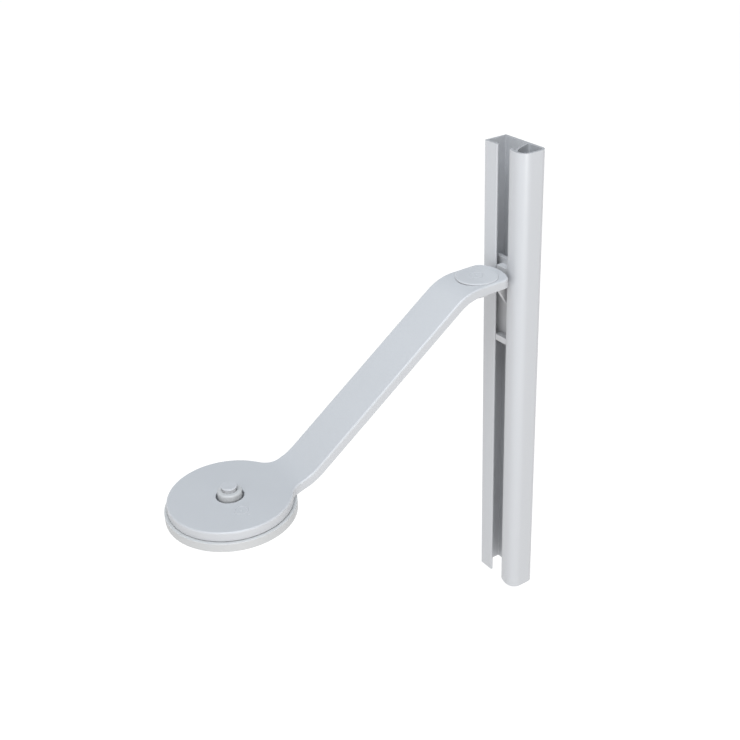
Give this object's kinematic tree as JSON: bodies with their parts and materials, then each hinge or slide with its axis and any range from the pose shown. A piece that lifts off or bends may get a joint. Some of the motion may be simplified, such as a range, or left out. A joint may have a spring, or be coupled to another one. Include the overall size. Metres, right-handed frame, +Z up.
{
  "type": "window stay arm with slider track",
  "caption": "Cranked pivot arm with a round swivel base at its lower end and a slider at its upper end that runs in a slotted sash track, as on a projecting window.",
  "frame": {"origin": "on the track's flat back face, on the centre line of its slot, halfway along its length", "axes": "+X across the slotted face towards the track's rounded side, +Y from the slotted face into the track, +Z up along the track"},
  "size_m": [0.0602, 0.1997, 0.25],
  "materials": {
    "track_plastic": "satin extruded rigid plastic",
    "slider_plastic": "moulded satin plastic",
    "arm_plastic": "moulded satin-gloss plastic",
    "base_plastic": "moulded satin-gloss plastic",
    "washer_plastic": "plain moulded acetal",
    "steel": "zinc-plated",
    "brake_rubber": "matte"
  },
  "bodies": {
    "track": {"track": "track_plastic"},
    "slider": {"slider_carriage": "slider_plastic", "brake_spring": "steel", "brake_pad": "brake_rubber", "end_pin": "steel", "end_pin_washer": "steel", "thrust_washer": "washer_plastic"},
    "arm": {"arm": "arm_plastic", "end_cap": "arm_plastic"},
    "base": {"base_disc": "base_plastic", "friction_washer": "washer_plastic", "spring_washer": "steel", "pivot_stud": "base_plastic", "locking_plunger": "arm_plastic"}
  },
  "joints": [
    {"name": "slider_slide", "type": "slide", "parent": "track", "child": "slider", "axis": [0, 0, 1], "range_m": [-0.145, 0.055]},
    {"name": "arm_swivel", "type": "hinge", "parent": "slider", "child": "arm", "pos_m": [0, -0.0282, 0.0613], "axis": [0, 0, 1], "range_deg": [-95, 95]},
    {"name": "base_swivel", "type": "hinge", "parent": "arm", "child": "base", "pos_m": [0, -0.1696, -0.008], "axis": [0, 0, 1], "continuous": true}
  ]
}
